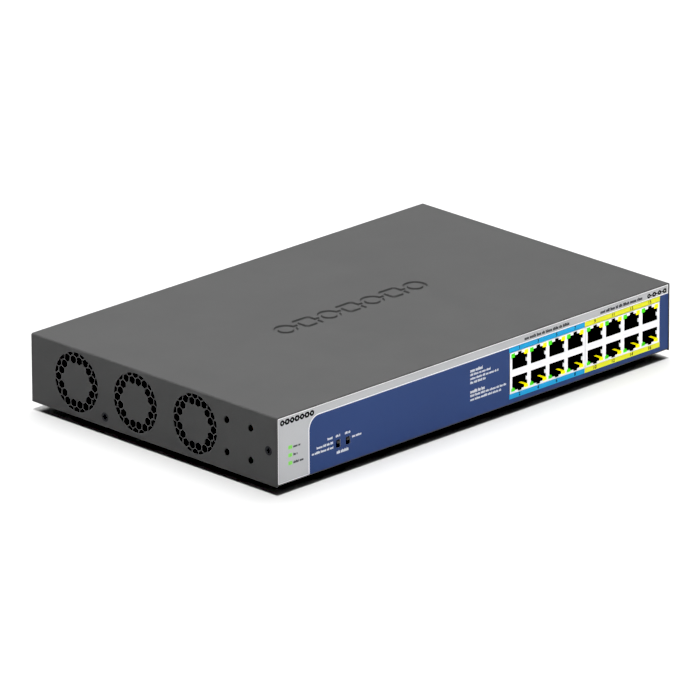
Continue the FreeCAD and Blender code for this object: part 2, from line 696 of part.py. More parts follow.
def fan_leads():
    """Each fan's lead, along the base to its socket on the main board."""
    leads = []
    lead_z = 4.0
    plug_z = 11.0
    for step, fan_y in enumerate(FANS.values()):
        aisle_x = 28.5 + 2.2 * step
        cross_y = 50.0 + 2.6 * step
        route = [(12, fan_y + 20, lead_z), (12, fan_y + 23, lead_z), (aisle_x, fan_y + 23, lead_z),
                 (aisle_x, cross_y, lead_z), (header_x(step), cross_y, lead_z),
                 (header_x(step), cross_y, plug_z), (header_x(step), 42, plug_z)]
        leads.append(bent_wire(route, 0.9, 1.4))
    return leads


# Boards

def screw_spots():
    return MAIN_SCREWS + PSU_SCREWS


def board_holes(spots):
    return [rod(1.65, (x, y, BOARD_Z - 1), (x, y, BOARD_TOP + 1)) for x, y in spots]


def main_board():
    """The L-shaped board: a strip behind the front wall and the wide part behind the ports."""
    strip = box(6, 323, 2, 46, BOARD_Z, BOARD_TOP)
    wide = box(142, 323, 40, 190, BOARD_Z, BOARD_TOP)
    return fused([strip, wide]).cut(board_holes(MAIN_SCREWS))


def standoff(x, y):
    corner = 5.5 / math.sqrt(3)
    turns = [math.radians(60 * step) for step in range(6)]
    outline = [(x + corner * math.cos(turn), y + corner * math.sin(turn), PAN_T) for turn in turns]
    bore = rod(1.45, (x, y, PAN_T + 0.5), (x, y, BOARD_Z + 1))
    return prism(outline, (0, 0, BOARD_Z - PAN_T)).cut(bore)


def board_screw(x, y):
    head = rod(2.8, (x, y, BOARD_TOP), (x, y, BOARD_TOP + 1.8))
    shank = rod(1.4, (x, y, BOARD_Z - 3.5), (x, y, BOARD_TOP + 0.5))
    return fused([head, shank]).cut(cross_slots((x, y, BOARD_TOP + 1.8), (0, 0, 1), 0.8))


def chip(x, y, size, height):
    return box(x - size / 2, x + size / 2, y - size / 2, y + size / 2, BOARD_TOP, BOARD_TOP + height)


def board_chips():
    """The switching processor, its memory and the port power controllers."""
    chips = [chip(236, 112, 27, 2.2), chip(196, 128, 11, 1.2), chip(196, 100, 11, 1.2)]
    for x in (176, 216, 256, 296):
        chips.append(chip(x, 66, 9, 1.0))
    return chips


def switch_heatsink():
    """A finned block on the switching processor."""
    low = BOARD_TOP + 2.2
    half = 22.0
    base = box(236 - half, 236 + half, 112 - half, 112 + half, low, low + 3)
    fins = []
    for step in range(11):
        x = 236 - half + 4.25 * step
        fins.append(box(x, x + 1.5, 112 - half, 112 + half, low + 2.5, low + 14))
    return fused([base] + fins)


def network_transformers():
    """One isolating transformer behind each column of jacks."""
    blocks = []
    for block_x in PORT_BLOCKS.values():
        for x in jack_columns(block_x):
            block = box(x - 7, x + 7, 36, 45, BOARD_TOP, BOARD_TOP + 6)
            blocks.append(rounded(block, 0.8, (0, 0, 1)))
    return blocks


def can_capacitor(x, y, radius, height):
    """An upright electrolytic capacitor with a groove round its foot."""
    can = rod(radius, (x, y, BOARD_TOP), (x, y, BOARD_TOP + height))
    groove = tube(radius + 1, radius - 0.4, (x, y, BOARD_TOP + 2), (x, y, BOARD_TOP + 2.8))
    return can.cut(groove)


def board_capacitors():
    cans = [can_capacitor(160, 80 + 14 * step, 4.0, 11.5) for step in range(6)]
    cans += [can_capacitor(282 + 12 * step, 150, 4.0, 11.5) for step in range(3)]
    return cans


# Power supply

def psu_board():
    return box(*PSU_BOX, BOARD_Z, BOARD_TOP).cut(board_holes(PSU_SCREWS))


def psu_transformer():
    """A ferrite core with the winding on its middle limb."""
    z0 = BOARD_TOP
    core = box(78, 112, 118, 148, z0 + 1, z0 + 25)
    gap_left = box(83, 91, 117, 149, z0 + 5, z0 + 21)
    gap_right = box(99, 107, 117, 149, z0 + 5, z0 + 21)
    winding = box(84, 106, 115, 151, z0 + 5.5, z0 + 20.5)
    winding = rounded(winding, 2.0, (0, 1, 0))
    limb = box(90.95, 99.05, 117.95, 148.05, z0 + 4.9, z0 + 21.1)
    bobbin = box(78, 112, 112, 114.9, z0, z0 + 6)
    return [core.cut([gap_left, gap_right]), winding.cut(limb), bobbin]


def psu_capacitors():
    return [can_capacitor(58, 140, 11, 28), can_capacitor(58, 114, 11, 28),
            can_capacitor(120, 92, 5, 20), can_capacitor(120, 78, 5, 20),
            can_capacitor(106, 92, 5, 20)]


def comb_heatsink(x0, x1, y):
    """An upright aluminium plate with fins along its rear side."""
    z0 = BOARD_TOP
    pieces = [box(x0, x1, y, y + 2.5, z0, z0 + 27)]
    count = int((x1 - x0) // 6)
    for step in range(count + 1):
        x = x0 + (x1 - x0 - 1.5) * step / count
        pieces.append(box(x, x + 1.5, y + 2, y + 9, z0 + 6, z0 + 27))
    return fused(pieces)


def psu_heatsinks():
    return [comb_heatsink(80, 122, 158), comb_heatsink(46, 92, 78)]


def power_transistors():
    """Flat power packages, screwed against the heatsink plates, with their legs."""
    parts = []
    for x, y in ((88, 158), (110, 158), (56, 78), (80, 78)):
        body = box(x - 5, x + 5, y - 4.6, y - 0.02, BOARD_TOP + 5, BOARD_TOP + 20)
        legs = [box(x + dx - 0.4, x + dx + 0.4, y - 2.6, y - 2.1, BOARD_TOP, BOARD_TOP + 5.2)
                for dx in (-2.54, 0, 2.54)]
        parts.append(fused([body] + legs))
    return parts


def psu_chokes():
    """The line filter chokes: wound rings lying on the board."""
    rings = []
    for x, y in ((100, 182), (117, 182)):
        ring = Part.makeTorus(5.0, 2.6, V(x, y, BOARD_TOP + 2.6), V(0, 0, 1))
        rings.append(ring)
    rings.append(rounded(box(86, 99, 94, 107, BOARD_TOP, BOARD_TOP + 12), 1.5, (0, 0, 1)))
    return rings


def ac_inlet():
    """The three-pin power inlet: a flange on the rear wall and the moulded socket behind it."""
    half_w = INLET_FLANGE[0] / 2
    half_h = INLET_FLANGE[1] / 2
    y0 = PAN_REAR_Y
    y1 = PAN_REAR_Y + INLET_FLANGE[2]
    flange = box(INLET_X - half_w, INLET_X + half_w, y0, y1, INLET_Z - half_h, INLET_Z + half_h)
    flange = rounded(flange, 5.0, (0, 1, 0))
    socket = inlet_outline(13.7, 9.9, 4.0, y0 - 17.5, y0 + 0.5)
    recess = inlet_outline(12.35, 8.1, 3.4, y0 - 14, y1 + 1)
    tools = [recess]
    for x in (INLET_X - INLET_SCREW_PITCH, INLET_X + INLET_SCREW_PITCH):
        tools.append(rod(1.6, (x, y0 - 1, INLET_Z), (x, y1 + 1, INLET_Z)))
        tools.append(cone(1.6, 3.2, (x, y1 - 1.6, INLET_Z), (x, y1, INLET_Z)))
    for x, z in inlet_pin_spots():
        tools.append(box(x - 1.02, x + 1.02, y0 - 18, y0 - 13, z - 2.02, z + 2.02))
    return fused([flange, socket]).cut(tools)


def inlet_pin_spots():
    return [(INLET_X - 7, INLET_Z - 2), (INLET_X + 7, INLET_Z - 2), (INLET_X, INLET_Z + 2)]


def ac_inlet_pins():
    """The three flat pins, with a solder tab behind the socket."""
    pins = []
    for x, z in inlet_pin_spots():
        blade_part = box(x - 1, x + 1, PAN_REAR_Y - 17.5, PAN_REAR_Y - 1, z - 2, z + 2)
        tab = box(x - 0.4, x + 0.4, PAN_REAR_Y - 24, PAN_REAR_Y - 17.4, z - 2, z + 2)
        pins.append(fused([blade_part, tab]))
    return pins


def inlet_screw(x):
    """A countersunk screw, flush with the inlet's flange."""
    y1 = PAN_REAR_Y + INLET_FLANGE[2]
    head = cone(1.5, 3.1, (x, y1 - 1.62, INLET_Z), (x, y1 - 0.02, INLET_Z))
    shank = rod(1.45, (x, PAN_REAR_Y - 6, INLET_Z), (x, y1 - 1.5, INLET_Z))
    return fused([head, shank]).cut(cross_slots((x, y1 - 0.02, INLET_Z), (0, 1, 0), 0.8))


def wire_connectors():
    """The fan sockets, the mains block and the two ends of the low-voltage harness."""
    blocks = [box(header_x(step) - 3.75, header_x(step) + 3.75, 36, 42, BOARD_TOP, 13.5) for step in range(3)]
    blocks.append(box(50, 70, 170, 177, BOARD_TOP, 12))
    blocks.append(box(124, 131, 122, 144, BOARD_TOP, 15))
    blocks.append(box(147, 154, 122, 144, BOARD_TOP, 15))
    return blocks


def power_wires():
    """The mains wires from the inlet to the supply, and the harness to the main board."""
    wires = []
    tab_end = PAN_REAR_Y - 24
    for x, z in inlet_pin_spots():
        route = [(x, tab_end, z), (x, 173.5, z), (x, 173.5, 12)]
        wires.append(bent_wire(route, 1.1, 2.5))
    for step in range(5):
        y = 125 + 4 * step
        route = [(131, y, 11), (135, y, 11), (139, y, 14), (143, y, 11), (147, y, 11)]
        wires.append(bent_wire(route, 0.9, 2.5))
    return wires


def build():
    os.makedirs("parts", exist_ok=True)
    save("top_cover", top_cover())
    save("base_pan", base_pan())
    save("front_overlay", front_overlay())
    save("rubber_feet", *rubber_feet())
    left_screws = [cover_screw(y, z) for y, z in COVER_SCREWS]
    save("cover_screws", *left_screws, *[mirrored(screw) for screw in left_screws])
    save("rear_panel_screws", inlet_screw(INLET_X - INLET_SCREW_PITCH),
         inlet_screw(INLET_X + INLET_SCREW_PITCH), rear_screw(*GROUND_SCREW, PAN_REAR_Y, 6))
    for name, block_x in PORT_BLOCKS.items():
        save(f"{name}_port_housing", port_housing(block_x))
        save(f"{name}_port_shield", port_shield(block_x))
        save(f"{name}_port_contacts", *port_contacts(block_x))
        save(f"{name}_port_green_lights", *port_lights(block_x, -1))
        save(f"{name}_port_yellow_lights", *port_lights(block_x, 1))
    for name, centre_x in SWITCH_X.items():
        save(f"{name}_switch_body", switch_body(centre_x))
        save(f"{name}_switch_lever", switch_lever(centre_x))
    save("switch_terminals", *switch_terminals())
    save("status_light_pipe", status_light_pipe())
    save("status_leds", *status_leds())
    for name, centre_y in FANS.items():
        save(f"{name}_fan_frame", fan_frame(centre_y))
        save(f"{name}_fan_impeller", fan_impeller(centre_y))
        save(f"{name}_fan_shaft", fan_shaft(centre_y))
        save(f"{name}_fan_magnet", fan_magnet(centre_y))
        save(f"{name}_fan_stator", *fan_stator(centre_y))
    save("fan_bearings", *fan_bearings())
    save("fan_bracket", fan_bracket())
    save("fan_screws", *fan_screws())
    save("fan_leads", *fan_leads())
    save("main_board", main_board())
    save("board_standoffs", *[standoff(x, y) for x, y in screw_spots()])
    save("board_screws", *[board_screw(x, y) for x, y in screw_spots()])
    save("board_chips", *board_chips())
    save("switch_heatsink", switch_heatsink())
    save("network_transformers", *network_transformers())
    save("board_capacitors", *board_capacitors())
    save("psu_board", psu_board())
    save("psu_transformer", *psu_transformer())
    save("psu_capacitors", *psu_capacitors())
    save("psu_heatsinks", *psu_heatsinks())
    save("power_transistors", *power_transistors())
    save("psu_chokes", *psu_chokes())
    save("ac_inlet", ac_inlet())
    save("ac_inlet_pins", *ac_inlet_pins())
    save("wire_connectors", *wire_connectors())
    save("power_wires", *power_wires())


build()
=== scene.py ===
import json
import math
import random

import bpy
from mathutils import Matrix, Vector


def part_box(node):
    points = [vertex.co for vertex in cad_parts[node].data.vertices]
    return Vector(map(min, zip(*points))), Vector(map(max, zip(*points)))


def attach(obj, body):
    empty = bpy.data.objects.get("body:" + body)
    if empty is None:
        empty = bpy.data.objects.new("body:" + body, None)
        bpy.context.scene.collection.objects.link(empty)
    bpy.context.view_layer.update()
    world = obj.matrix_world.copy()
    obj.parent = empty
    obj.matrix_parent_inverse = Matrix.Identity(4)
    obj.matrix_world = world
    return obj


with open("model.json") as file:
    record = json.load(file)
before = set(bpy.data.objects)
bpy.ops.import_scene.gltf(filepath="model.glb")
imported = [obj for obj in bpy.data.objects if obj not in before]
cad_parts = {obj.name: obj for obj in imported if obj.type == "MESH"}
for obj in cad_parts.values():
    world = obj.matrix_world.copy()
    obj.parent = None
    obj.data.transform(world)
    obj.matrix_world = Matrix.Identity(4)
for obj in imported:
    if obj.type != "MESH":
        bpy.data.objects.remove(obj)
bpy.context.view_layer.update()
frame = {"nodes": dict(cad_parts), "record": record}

MM = 0.001
case_low, case_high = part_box("top_cover")
film_low, film_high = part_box("front_overlay")


def at(x, y, z):
    """A point given in millimetres from the case's lower left front corner, in the row frame."""
    return case_low + Vector((x, y, z)) * MM


def srgb(red, green, blue):
    """A colour given in 0..255 screen values, as the linear values that shaders use."""
    linear = []
    for value in (red / 255, green / 255, blue / 255):
        linear.append(value / 12.92 if value <= 0.04045 else ((value + 0.055) / 1.055) ** 2.4)
    return tuple(linear)


def scaled(colour, factor):
    """The colour, darker or lighter by a factor."""
    return tuple(min(1.0, value * factor) for value in colour)


# Camera

CAMERA_AZIMUTH = math.radians(-44.695)
CAMERA_ELEVATION = math.radians(19.926)
CAMERA_ROLL = math.radians(-0.257)
CAMERA_DISTANCE = 6.1298
CAMERA_AIM = Vector((-0.0106, -0.0085, 0.026))
CAMERA_LENS = 529.0


def make_camera():
    back = Vector((math.sin(CAMERA_AZIMUTH) * math.cos(CAMERA_ELEVATION),
                   -math.cos(CAMERA_AZIMUTH) * math.cos(CAMERA_ELEVATION),
                   math.sin(CAMERA_ELEVATION)))
    right = (-back).cross(Vector((0, 0, 1))).normalized()
    up = right.cross(-back)
    rolled_right = right * math.cos(CAMERA_ROLL) + up * math.sin(CAMERA_ROLL)
    rolled_up = up * math.cos(CAMERA_ROLL) - right * math.sin(CAMERA_ROLL)
    data = bpy.data.cameras.new("camera")
    data.lens = CAMERA_LENS
    data.clip_start = 0.05
    data.clip_end = 50.0
    camera = bpy.data.objects.new("camera", data)
    bpy.context.scene.collection.objects.link(camera)
    turn = Matrix((rolled_right, rolled_up, back)).transposed().to_4x4()
    camera.matrix_world = Matrix.Translation(CAMERA_AIM + back * CAMERA_DISTANCE) @ turn
    bpy.context.scene.camera = camera


# Material building blocks

class Shader:
    """A Principled material that is built up node by node."""

    def __init__(self, name):
        self.material = bpy.data.materials.new(name)
        self.material.use_nodes = True
        self.tree = self.material.node_tree
        self.base = self.tree.nodes["Principled BSDF"]
        self.point = self.node("ShaderNodeTexCoord").outputs["Object"]

    def node(self, kind, values=None, **settings):
        made = self.tree.nodes.new(kind)
        for key, value in settings.items():
            setattr(made, key, value)
        for key, value in (values or {}).items():
            self.feed(made.inputs[key], value)
        return made

    def feed(self, socket, value):
        if isinstance(value, bpy.types.NodeSocket):
            self.tree.links.new(value, socket)
        else:
            socket.default_value = value

    def set(self, key, value):
        self.feed(self.base.inputs[key], value)

    def maths(self, operation, *values, clamp=False):
        made = self.node("ShaderNodeMath", operation=operation, use_clamp=clamp)
        for socket, value in zip(made.inputs, values):
            self.feed(socket, value)
        return made.outputs[0]

    def scaled_point(self, stretch):
        made = self.node("ShaderNodeMapping", {"Vector": self.point, "Scale": stretch})
        return made.outputs["Vector"]

    def noise(self, size, detail=2.0, stretch=None):
        """Noise from 0 to 1 whose blotches are about size metres across."""
        point = self.scaled_point(stretch) if stretch else self.point
        made = self.node("ShaderNodeTexNoise", {"Vector": point, "Scale": 1 / size, "Detail": detail})
        return made.outputs["Fac"]

    def between(self, factor, low, high):
        """A number that goes from low to high as the factor goes from 0 to 1."""
        made = self.node("ShaderNodeMapRange", {"Value": factor, "To Min": low, "To Max": high})
        return made.outputs["Result"]

    def ramp(self, factor, start, stop):
        """0 below start, 1 above stop, and smooth between them."""
        made = self.node("ShaderNodeMapRange", {"Value": factor, "From Min": start, "From Max": stop},
                         interpolation_type="SMOOTHSTEP")
        return made.outputs["Result"]

    def mix(self, factor, first, second):
        """A colour that goes from the first to the second."""
        made = self.node("ShaderNodeMix", data_type="RGBA")
        self.feed(made.inputs[0], factor)
        for socket, colour in ((made.inputs[6], first), (made.inputs[7], second)):
            self.feed(socket, (*colour, 1.0) if isinstance(colour, tuple) else colour)
        return made.outputs[2]

    def shades(self, colour, spread, size, stretch=None):
        """The colour, a little darker and lighter in soft patches."""
        patch = self.ramp(self.noise(size, 3.0, stretch), 0.3, 0.7)
        return self.mix(patch, scaled(colour, 1 - spread), scaled(colour, 1 + spread))

    def bump(self, height, depth, normal=None):
        values = {"Height": height, "Distance": depth, "Strength": 1.0}
        if normal is not None:
            values["Normal"] = normal
        return self.node("ShaderNodeBump", values).outputs["Normal"]


def moulded(name, colour, roughness=0.45, grain=0.0003, depth=0.000015, spread=0.08):
    """Injection-moulded plastic or rubber with a fine spark-eroded grain."""
    shader = Shader(name)
    shader.set("Base Color", shader.shades(colour, spread, 0.006))
    wear = shader.noise(0.002, 4.0)
    shader.set("Roughness", shader.between(wear, roughness - 0.08, roughness + 0.1))
    shader.set("Specular IOR Level", 0.4)
    shader.set("Normal", shader.bump(shader.noise(grain, 2.0), depth))
    return shader.material


def metal(name, colour, roughness=0.3, stretch=(1.0, 14.0, 14.0), spread=0.07):
    """Bare or plated metal with faint rolling lines, small scratches and dulled patches."""
    shader = Shader(name)
    lines = shader.noise(0.004, 5.0, stretch)
    patches = shader.noise(0.009, 3.0)
    shader.set("Base Color", shader.shades(colour, spread, 0.008, stretch))
    shader.set("Metallic", 1.0)
    brushed = shader.between(lines, -0.06, 0.06)
    dulled = shader.between(patches, -0.05, 0.08)
    uneven = shader.maths("ADD", brushed, dulled)
    shader.set("Roughness", shader.maths("ADD", uneven, roughness, clamp=True))
    shader.set("Normal", shader.bump(lines, 0.000004))
    return shader.material


def light_pipe(name, colour, glow):
    """A lit, tinted light pipe: a little darker in soft patches, with a slightly uneven face."""
    shader = Shader(name)
    patch = shader.ramp(shader.noise(0.0012, 2.0), 0.25, 0.75)
    tone = shader.mix(patch, scaled(colour, 0.72), colour)
    shader.set("Base Color", tone)
    shader.set("Roughness", shader.between(shader.noise(0.0006, 2.0), 0.3, 0.42))
    shader.set("Emission Color", tone)
    shader.set("Emission Strength", glow)
    shader.set("Specular IOR Level", 0.2)
    shader.set("Normal", shader.bump(shader.noise(0.0008, 2.0), 0.00002))
    return shader.material


def near_outer_edge(shader):
    """1 on the case's outer edges and 0 a millimetre away: where a point's second smallest distance
    to the sides, the ends and the top is small."""
    half = (case_high - case_low) / 2
    split = shader.node("ShaderNodeSeparateXYZ", {"Vector": shader.point})
    to_side = shader.maths("SUBTRACT", half.x, shader.maths("ABSOLUTE", split.outputs["X"]))
    to_end = shader.maths("SUBTRACT", half.y, shader.maths("ABSOLUTE", split.outputs["Y"]))
    to_top = shader.maths("SUBTRACT", case_high.z, split.outputs["Z"])
    nearest = shader.maths("MINIMUM", shader.maths("MINIMUM", to_side, to_end), to_top)
    farthest = shader.maths("MAXIMUM", shader.maths("MAXIMUM", to_side, to_end), to_top)
    total = shader.maths("ADD", shader.maths("ADD", to_side, to_end), to_top)
    second = shader.maths("SUBTRACT", shader.maths("SUBTRACT", total, nearest), farthest)
    return shader.maths("SUBTRACT", 1.0, shader.ramp(second, 0.0002, 0.0009))


def case_paint(name, colour):
    """Fine-textured powder coat, lighter in patches along the case's outer edges: partly rubbed wear,
    partly a painted edge highlight.
    """
    shader = Shader(name)
    wear_and_highlight_patches = shader.ramp(shader.noise(0.011, 5.0), 0.45, 0.75)
    edge_wear_and_highlight = shader.maths("MULTIPLY", near_outer_edge(shader), wear_and_highlight_patches)
    grain = shader.noise(0.00035, 3.0)
    coat = shader.mix(shader.ramp(grain, 0.35, 0.75), scaled(colour, 0.9), scaled(colour, 1.1))
    patch = shader.ramp(shader.noise(0.045, 4.0), 0.35, 0.65)
    mottled = shader.mix(patch, scaled(colour, 0.96), scaled(colour, 1.04))
    body = shader.mix(0.5, coat, mottled)
    # The lighter colour along the outer edges is partly rubbed wear and partly a painted highlight.
    shader.set("Base Color", shader.mix(edge_wear_and_highlight, body, scaled(colour, 1.25)))
    smear = shader.between(shader.noise(0.03, 4.0), 0.5, 0.62)
    polish = shader.maths("MULTIPLY", edge_wear_and_highlight, 0.15)
    shader.set("Roughness", shader.maths("SUBTRACT", smear, polish))
    shader.set("Specular IOR Level", 0.14)
    pebbles = shader.noise(0.0006, 2.0)
    shader.set("Normal", shader.bump(grain, 0.00001, shader.bump(pebbles, 0.00003)))
    return shader.material


def film(name, colour, metallic=0.0, roughness=0.4, flake=0.05, glow=0.0):
    """Printed polycarbonate film: velvet-textured, with tiny flakes where the ink is metallic and a slight
    painted glow: emission that brightens the ink, though the film gives no light."""
    shader = Shader(name)
    flakes = shader.ramp(shader.noise(0.00012, 1.0), 0.3, 0.7)
    tone = shader.shades(colour, 0.025, 0.03)
    lifted = shader.mix(flakes, scaled(colour, 1 - flake), scaled(colour, 1 + flake))
    ink = shader.mix(0.5, tone, lifted)
    shader.set("Base Color", ink)
    # The emission is a painted glow that brightens the ink; the film is no lamp.
    shader.set("Emission Color", ink)
    shader.set("Emission Strength", glow)
    shader.set("Metallic", metallic)
    shader.set("Roughness", shader.between(shader.noise(0.02, 4.0), roughness - 0.03, roughness + 0.05))
    shader.set("Specular IOR Level", 0.14)
    shader.set("Normal", shader.bump(shader.noise(0.00016, 1.0), 0.000006))
    return shader.material


def circuit_board(name, mask, track):
    """Solder mask with lighter tracks and pads showing through."""
    shader = Shader(name)
    lanes = shader.node("ShaderNodeTexBrick", {"Vector": shader.point, "Scale": 1.0, "Mortar Size": 0.0004,
                                               "Brick Width": 0.011, "Row Height": 0.0016, "Bias": -0.2})
    pads = shader.node("ShaderNodeTexVoronoi", {"Vector": shader.point, "Scale": 260.0})
    holes = shader.maths("SUBTRACT", 1.0, shader.ramp(pads.outputs["Distance"], 0.12, 0.16))
    tone = shader.mix(lanes.outputs["Fac"], mask, track)
    shader.set("Base Color", shader.mix(holes, tone, srgb(196, 170, 96)))
    shader.set("Roughness", shader.between(shader.noise(0.004, 3.0), 0.28, 0.42))
    shader.set("Normal", shader.bump(lanes.outputs["Fac"], 0.00003))
    return shader.material


def wound(name, colour, pitch, axis):
    """Fine parallel turns of enamelled wire."""
    shader = Shader(name)
    turns = shader.node("ShaderNodeTexWave", {"Vector": shader.point, "Scale": 1 / (pitch * 2 * math.pi),
                                              "Distortion": 0.4, "Detail": 1.0},
                        wave_type="BANDS", bands_direction=axis)
    shader.set("Base Color", shader.mix(turns.outputs["Fac"], scaled(colour, 0.35), colour))
    shader.set("Metallic", 0.85)
    shader.set("Roughness", shader.between(shader.noise(0.002, 2.0), 0.25, 0.4))
    shader.set("Normal", shader.bump(turns.outputs["Fac"], 0.0001))
    return shader.material


def capacitor_sleeve(name):
    """Dark shrink sleeve round the can, and a bare aluminium top."""
    shader = Shader(name)
    facing = shader.node("ShaderNodeNewGeometry").outputs["Normal"]
    upward = shader.node("ShaderNodeSeparateXYZ", {"Vector": facing}).outputs["Z"]
    top = shader.ramp(upward, 0.7, 0.9)
    sleeve = shader.shades(srgb(24, 26, 34), 0.2, 0.004)
    shader.set("Base Color", shader.mix(top, sleeve, srgb(196, 198, 200)))
    shader.set("Metallic", top)
    shader.set("Roughness", shader.between(shader.noise(0.003, 3.0), 0.25, 0.38))
    return shader.material


# Materials of the CAD nodes, by the record's material slot

SILVER_INK = srgb(189, 190, 192)
BLUE_INK = srgb(56, 76, 126)
BLACK_INK = srgb(12, 12, 14)


def cad_materials():
    return {
        "cover_paint": case_paint("cover_paint", srgb(75, 75, 75)),
        "panel_film": film("panel_film", SILVER_INK, 0.35, 0.36, 0.08),
        "foot_rubber": moulded("foot_rubber", srgb(20, 20, 20), 0.75, 0.0008, 0.00004),
        "black_screws": metal("black_screws", srgb(46, 46, 48), 0.42, (6.0, 6.0, 6.0)),
        "bright_screws": metal("bright_screws", srgb(190, 190, 188), 0.3, (6.0, 6.0, 6.0)),
        "port_plastic": moulded("port_plastic", srgb(8, 8, 8), 0.7),
        "port_shield": metal("port_shield", srgb(235, 235, 238), 0.3, (1.0, 20.0, 6.0), 0.02),
        # The contacts' gold is given darker than bright plating: painted shade for contacts deep in the
        # jacks.
        "contact_gold": metal("contact_gold", srgb(120, 92, 44), 0.4),
        "green_light": light_pipe("green_light", srgb(72, 224, 16), 0.4),
        "yellow_light": light_pipe("yellow_light", srgb(254, 240, 14), 1.0),
        "switch_plastic": moulded("switch_plastic", srgb(12, 12, 12), 0.5),
        # The lever is black plastic; its lighter grey colour is a painted highlight over its face.
        "lever_plastic": moulded("lever_plastic", srgb(74, 72, 68), 0.45),
        "terminal_tin": metal("terminal_tin", srgb(200, 200, 196), 0.35),
        "status_clear": light_pipe("status_clear", srgb(132, 214, 96), 0.28),
        "led_white": light_pipe("led_white", srgb(210, 240, 180), 0.8),
        "fan_black": moulded("fan_black", srgb(22, 22, 23), 0.5),
        "shaft_steel": metal("shaft_steel", srgb(200, 200, 204), 0.18),
        "magnet_grey": moulded("magnet_grey", srgb(60, 58, 58), 0.7),
        "motor_copper": wound("motor_copper", srgb(196, 116, 60), 0.0004, "X"),
        "bearing_bronze": metal("bearing_bronze", srgb(176, 134, 70), 0.4),
        "bracket_zinc": metal("bracket_zinc", srgb(176, 178, 180), 0.35),
        "wire_sleeve": moulded("wire_sleeve", srgb(18, 18, 18), 0.5),
        "board_green": circuit_board("board_green", srgb(14, 66, 36), srgb(30, 98, 54)),
        "psu_laminate": circuit_board("psu_laminate", srgb(176, 138, 78), srgb(190, 156, 96)),
        "standoff_steel": metal("standoff_steel", srgb(186, 186, 188), 0.3),
        "chip_epoxy": moulded("chip_epoxy", srgb(26, 26, 27), 0.55, 0.0002),
        "sink_black": metal("sink_black", srgb(150, 152, 156), 0.35),
        "magnetics_black": moulded("magnetics_black", srgb(20, 20, 21), 0.5),
        "capacitor_sleeve": capacitor_sleeve("capacitor_sleeve"),
        "ferrite": moulded("ferrite", srgb(54, 52, 52), 0.65),
        "choke_wire": wound("choke_wire", srgb(190, 112, 56), 0.0006, "Z"),
        "inlet_black": moulded("inlet_black", srgb(18, 18, 18), 0.42, 0.0004),
        "pin_nickel": metal("pin_nickel", srgb(206, 202, 190), 0.22),
        "connector_white": moulded("connector_white", srgb(222, 218, 204), 0.45),
        "harness_wire": moulded("harness_wire", srgb(150, 26, 20), 0.4),
    }


def dress_cad_nodes(materials):
    slots = {entry["node"]: entry["material_slot"] for entry in frame["record"]["subparts"]}
    for node, obj in frame["nodes"].items():
        obj.data.materials.clear()
        obj.data.materials.append(materials[slots[node]])


# Outlines, as (x, z) points in millimetres from the case's lower left front corner

def arc(centre_x, centre_z, radius, start, stop, steps=8):
    points = []
    for step in range(steps + 1):
        turn = math.radians(start + (stop - start) * step / steps)
        points.append((centre_x + radius * math.cos(turn), centre_z + radius * math.sin(turn)))
    return points


def plate(x0, x1, z0, z1, radius=0.0, radii=None):
    """A rectangle with rounded corners. radii is for corners that differ: top left, top right,
    bottom right and bottom left."""
    top_left, top_right, bottom_right, bottom_left = radii or (radius,) * 4
    corners = [(x1, z1, top_right, 0, -1, -1), (x0, z1, top_left, 90, 1, -1),
               (x0, z0, bottom_left, 180, 1, 1), (x1, z0, bottom_right, 270, -1, 1)]
    points = []
    for x, z, bend, start, inward_x, inward_z in corners:
        if bend > 0:
            points += arc(x + inward_x * bend, z + inward_z * bend, bend, start, start + 90)
        else:
            points.append((x, z))
    return points


def disc(centre_x, centre_z, radius):
    sides = 32
    return arc(centre_x, centre_z, radius, 0, 360 * (sides - 1) / sides, sides - 1)


# Printed layers, in the same millimetres. Each layer of ink lies in front of the one before.

INK = 0.02


def mesh_from(curve_object):
    """The mesh of a curve or text object, which is then removed."""
    bpy.context.scene.collection.objects.link(curve_object)
    bpy.context.view_layer.update()
    shaped = curve_object.evaluated_get(bpy.context.evaluated_depsgraph_get())
    mesh = bpy.data.meshes.new_from_object(shaped)
    bpy.data.objects.remove(curve_object)
    return mesh


def show(name, mesh, material):
    """Makes the mesh a piece of the case, in the given material."""
    mesh.name = name
    mesh.materials.clear()
    mesh.materials.append(material)
    piece = bpy.data.objects.new(name, mesh)
    bpy.context.scene.collection.objects.link(piece)
    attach(piece, "root")


def facing_front(layer):
    """Turns a flat shape, drawn in millimetres, to lie on the film as its given ink layer."""
    film_front = (film_low.y - case_low.y) / MM
    place = Matrix.Translation(at(0, film_front - INK * (layer + 0.5), 0))
    return place @ Matrix.Rotation(math.radians(90), 4, "X") @ Matrix.Scale(MM, 4)


def printed(name, outlines, material, layer):
    """One ink: closed outlines, where an outline inside another is a gap in it."""
    curve = bpy.data.curves.new(name, "CURVE")
    curve.dimensions = "2D"
    curve.fill_mode = "BOTH"
    curve.extrude = INK / 2
    for outline in outlines:
        spline = curve.splines.new("POLY")
        spline.points.add(len(outline) - 1)
        for point, (x, z) in zip(spline.points, outline):
            point.co = (x, z, 0, 1)
        spline.use_cyclic_u = True
    mesh = mesh_from(bpy.data.objects.new(name, curve))
    mesh.transform(facing_front(layer))
    show(name, mesh, material)


def word_blocks(x0, x1, z, height, rng):
    """Small blocks in word-like groups along a line. They stand for small print and spell nothing."""
    narrowest = 0.3
    letter_gap = 0.12
    word_gap = 0.55
    blocks = []
    x = x0
    letters_left = rng.randint(3, 8)
    while x < x1 - narrowest:
        width = rng.uniform(0.25, 0.4) * height
        rise = height * rng.choice((0.75, 0.75, 1.0))
        blocks.append(plate(x, min(x + width, x1), z - height / 2, z - height / 2 + rise, 0.05))
        x += width + letter_gap
        letters_left -= 1
        if letters_left == 0:
            x += word_gap
            letters_left = rng.randint(3, 8)
    return blocks


